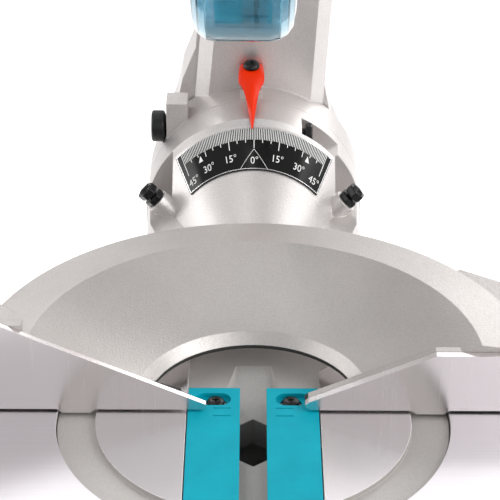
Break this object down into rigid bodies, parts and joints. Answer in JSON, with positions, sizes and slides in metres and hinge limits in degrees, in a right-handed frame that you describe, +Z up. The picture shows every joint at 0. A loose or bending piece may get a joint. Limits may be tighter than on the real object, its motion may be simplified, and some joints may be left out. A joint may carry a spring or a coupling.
{
  "type": "mitre saw on stand",
  "caption": "Dual bevel compound mitre saw with raised head, clear lower guard, teal kerf inserts and a black folding stand with roller extensions.",
  "frame": {"origin": "on the floor under the middle of the stand", "axes": "+X to the operator's right, +Y away from the operator, +Z up"},
  "size_m": [1.158, 0.838, 1.4531],
  "materials": {
    "base_aluminium": "machined",
    "cast_aluminium": "sand cast, clear coated",
    "fence_plate": "extruded, polished",
    "scale_black": "printed",
    "insert_teal": "moulded",
    "signal_orange": "moulded",
    "bolt_black": "black oxide",
    "steel": "turned",
    "grip_black": "soft grip",
    "plastic_black": "moulded",
    "silver_paint": "fine texture",
    "motor_teal": "moulded",
    "guard_clear": "clear polycarbonate",
    "blade_steel": "ground",
    "copper_iron": "varnished winding",
    "rail_aluminium": "anodised",
    "stand_black": "powder coat",
    "foot_rubber": "moulded"
  },
  "bodies": {
    "stand_and_base": {"rails": "rail_aluminium", "rail_collars": "plastic_black", "saw_brackets": "stand_black", "bracket_bolts": "steel", "leg_brackets": "stand_black", "base_casting": "base_aluminium", "mitre_scale": "scale_black", "fence_casting": "cast_aluminium", "left_fence_plate": "fence_plate", "right_fence_plate": "fence_plate", "fence_bolts": "bolt_black", "pivot_bolt": "steel"},
    "turntable_body": {"turntable": "base_aluminium", "kerf_board_left": "insert_teal", "kerf_board_right": "insert_teal", "kerf_screws": "bolt_black", "mitre_pointer": "signal_orange", "bevel_housing": "silver_paint", "bevel_scale": "scale_black", "stop_bolts": "bolt_black", "clamp_shaft": "steel"},
    "grip_body": {"mitre_grip": "grip_black"},
    "detent_body": {"detent_lever": "plastic_black"},
    "bevel_lever_body": {"bevel_lever": "plastic_black"},
    "arm_body": {"arm": "silver_paint", "bevel_pointer": "signal_orange", "pointer_screw": "bolt_black", "head_pivot_pin": "steel"},
    "release_pin_body": {"release_pin": "plastic_black"},
    "head_lock_body": {"head_lock_pin": "plastic_black"},
    "head_body": {"head_frame": "silver_paint", "upper_guard": "motor_teal", "motor_housing": "motor_teal", "motor_end_cap": "plastic_black", "motor_stator": "copper_iron", "brush_caps": "plastic_black", "handle": "grip_black", "carry_handle": "plastic_black", "dust_spout": "plastic_black"},
    "armature_body": {"motor_armature": "copper_iron"},
    "blade_body": {"blade": "blade_steel", "blade_flanges": "steel", "arbor_bolt": "bolt_black", "spindle": "steel"},
    "guard_body": {"lower_guard": "guard_clear"},
    "trigger_body": {"trigger": "signal_orange"},
    "lock_button_body": {"lock_off_button": "plastic_black"},
    "extension_left_body": {"extension_left": "stand_black"},
    "extension_right_body": {"extension_right": "stand_black"},
    "roller_left_body": {"roller_left": "rail_aluminium"},
    "roller_right_body": {"roller_right": "rail_aluminium"},
    "leg_front_left_body": {"leg_front_left": "stand_black", "foot_front_left": "foot_rubber"},
    "leg_front_right_body": {"leg_front_right": "stand_black", "foot_front_right": "foot_rubber"},
    "leg_rear_left_body": {"leg_rear_left": "stand_black", "foot_rear_left": "foot_rubber"},
    "leg_rear_right_body": {"leg_rear_right": "stand_black", "foot_rear_right": "foot_rubber"}
  },
  "joints": [
    {"name": "mitre", "type": "hinge", "parent": "stand_and_base", "child": "turntable_body", "pos_m": [0, -0.02, 0.85], "axis": [0, 0, 1], "range_deg": [-47, 47]},
    {"name": "mitre_lock", "type": "hinge", "parent": "turntable_body", "child": "grip_body", "pos_m": [0, -0.3, 0.81], "axis": [0, 1, 0], "range_deg": [0, 180]},
    {"name": "detent", "type": "hinge", "parent": "turntable_body", "child": "detent_body", "pos_m": [0, -0.244, 0.786], "axis": [-1, 0, 0], "range_deg": [0, 7], "stiffness_Nm_per_rad": 1, "springref_deg": -11.46},
    {"name": "bevel_lock", "type": "hinge", "parent": "turntable_body", "child": "bevel_lever_body", "pos_m": [0, 0.33, 0.85], "axis": [0, 1, 0], "range_deg": [0, 60]},
    {"name": "bevel", "type": "hinge", "parent": "turntable_body", "child": "arm_body", "pos_m": [0, 0.26, 0.85], "axis": [0, -1, 0], "range_deg": [-45, 45]},
    {"name": "stop_release", "type": "slide", "parent": "arm_body", "child": "release_pin_body", "axis": [-1, 0, 0], "range_m": [0, 0.005]},
    {"name": "head_lock", "type": "slide", "parent": "arm_body", "child": "head_lock_body", "axis": [-1, 0, 0], "range_m": [0, 0.004]},
    {"name": "head_chop", "type": "hinge", "parent": "arm_body", "child": "head_body", "pos_m": [0.016, 0.265, 1.085], "axis": [1, 0, 0], "range_deg": [0, 46.2], "stiffness_Nm_per_rad": 20, "springref_deg": -137.51},
    {"name": "lower_guard_swing", "type": "hinge", "parent": "head_body", "child": "guard_body", "pos_m": [0, -0.04036, 1.2286], "axis": [-1, 0, 0], "range_deg": [0, 150]},
    {"name": "blade_spin", "type": "hinge", "parent": "head_body", "child": "blade_body", "pos_m": [0, -0.04036, 1.2286], "axis": [1, 0, 0], "continuous": true},
    {"name": "armature_spin", "type": "hinge", "parent": "head_body", "child": "armature_body", "pos_m": [0.0558, -0.00355, 1.2639], "axis": [0.6428, 0.5529, 0.5302], "continuous": true},
    {"name": "trigger_press", "type": "hinge", "parent": "head_body", "child": "trigger_body", "pos_m": [-0.005, 0.0007, 1.41012], "axis": [-1, 0, 0], "range_deg": [0, 8], "stiffness_Nm_per_rad": 0.8, "springref_deg": -11.46},
    {"name": "lock_off_press", "type": "slide", "parent": "head_body", "child": "lock_button_body", "axis": [-1, 0, 0], "range_m": [0, 0.003], "stiffness_N_per_m": 300, "springref_m": -0.002},
    {"name": "extension_left_slide", "type": "slide", "parent": "stand_and_base", "child": "extension_left_body", "axis": [-1, 0, 0], "range_m": [0, 0.35]},
    {"name": "extension_right_slide", "type": "slide", "parent": "stand_and_base", "child": "extension_right_body", "axis": [1, 0, 0], "range_m": [0, 0.35]},
    {"name": "roller_left_spin", "type": "hinge", "parent": "extension_left_body", "child": "roller_left_body", "pos_m": [-0.508, 0, 0.828], "axis": [0, 1, 0], "continuous": true},
    {"name": "roller_right_spin", "type": "hinge", "parent": "extension_right_body", "child": "roller_right_body", "pos_m": [0.508, 0, 0.828], "axis": [0, 1, 0], "continuous": true},
    {"name": "leg_front_left_fold", "type": "hinge", "parent": "stand_and_base", "child": "leg_front_left_body", "pos_m": [-0.43, -0.052, 0.689], "axis": [0, -0.8879, 0.4601], "range_deg": [0, 99.65]},
    {"name": "leg_front_right_fold", "type": "hinge", "parent": "stand_and_base", "child": "leg_front_right_body", "pos_m": [0.43, -0.09, 0.689], "axis": [0, 0.9079, -0.4191], "range_deg": [0, 99.87]},
    {"name": "leg_rear_left_fold", "type": "hinge", "parent": "stand_and_base", "child": "leg_rear_left_body", "pos_m": [-0.43, 0.052, 0.689], "axis": [0, -0.8879, -0.4601], "range_deg": [0, 99.65]},
    {"name": "leg_rear_right_fold", "type": "hinge", "parent": "stand_and_base", "child": "leg_rear_right_body", "pos_m": [0.43, 0.09, 0.689], "axis": [0, 0.9079, 0.4191], "range_deg": [0, 99.87]}
  ],
  "couplings": [
    {"joint": "lower_guard_swing", "follows": "head_chop", "ratio": 3.24},
    {"joint": "armature_spin", "follows": "blade_spin", "ratio": -2.016}
  ]
}
